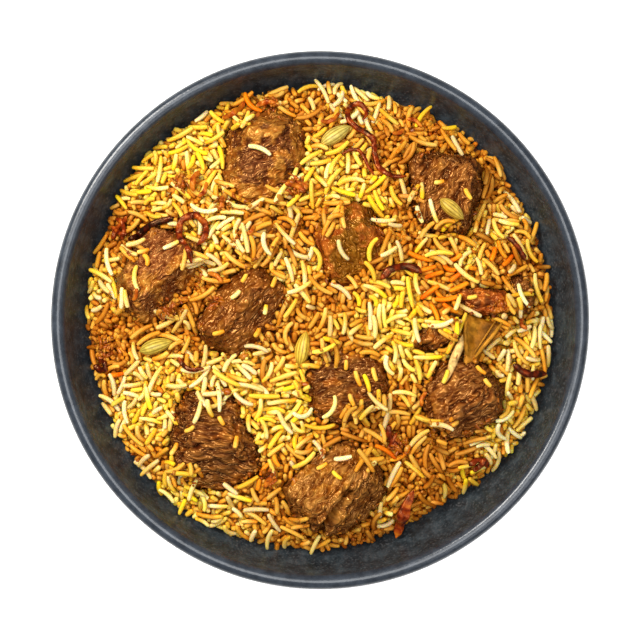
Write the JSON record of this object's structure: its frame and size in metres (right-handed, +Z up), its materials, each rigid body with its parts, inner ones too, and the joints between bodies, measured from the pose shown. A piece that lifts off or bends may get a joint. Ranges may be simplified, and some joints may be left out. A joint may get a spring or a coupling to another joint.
{
  "type": "bowl of mutton biryani",
  "caption": "Shallow dark stoneware bowl heaped with saffron-streaked mutton biryani: browned meat, a shank bone, cardamom pods and fried onion strips.",
  "frame": {"origin": "centre of the bowl's foot, on the surface it stands on", "axes": "+Z up out of the bowl; +Y and +X lie in the table plane, with the shank bone on the +X side"},
  "size_m": [0.26, 0.26, 0.0734],
  "materials": {
    "stoneware": "satin speckled black glaze on thrown stoneware",
    "rice": "moist cooked long-grain rice, white, yellow, saffron and masala brown",
    "mutton": "braised browned meat, oily, fibrous",
    "bone": "cooked bone, stained yellow, damp",
    "cardamom": "papery ribbed green-yellow pod",
    "onion": "deep-fried, dark red-brown, oily gloss"
  },
  "bodies": {
    "root": {"bowl": "stoneware", "rice_heap": "rice", "mutton_1": "mutton", "mutton_2": "mutton", "mutton_3": "mutton", "mutton_4": "mutton", "mutton_5": "mutton", "mutton_6": "mutton", "mutton_7": "mutton", "mutton_8": "mutton", "mutton_9": "mutton", "mutton_10": "mutton", "mutton_11": "mutton", "mutton_12": "mutton", "mutton_13": "mutton", "shank_bone": "bone", "cardamom_1": "cardamom", "cardamom_2": "cardamom", "cardamom_3": "cardamom", "cardamom_4": "cardamom", "onion_curl": "onion", "onion_thread": "onion", "onion_loop": "onion", "onion_char": "onion", "onion_ribbon": "onion", "onion_husk": "onion", "onion_twist": "onion", "onion_hook": "onion", "onion_sliver": "onion", "onion_knot_1": "onion", "onion_knot_2": "onion", "onion_knot_3": "onion", "onion_knot_4": "onion"}
  },
  "joints": []
}
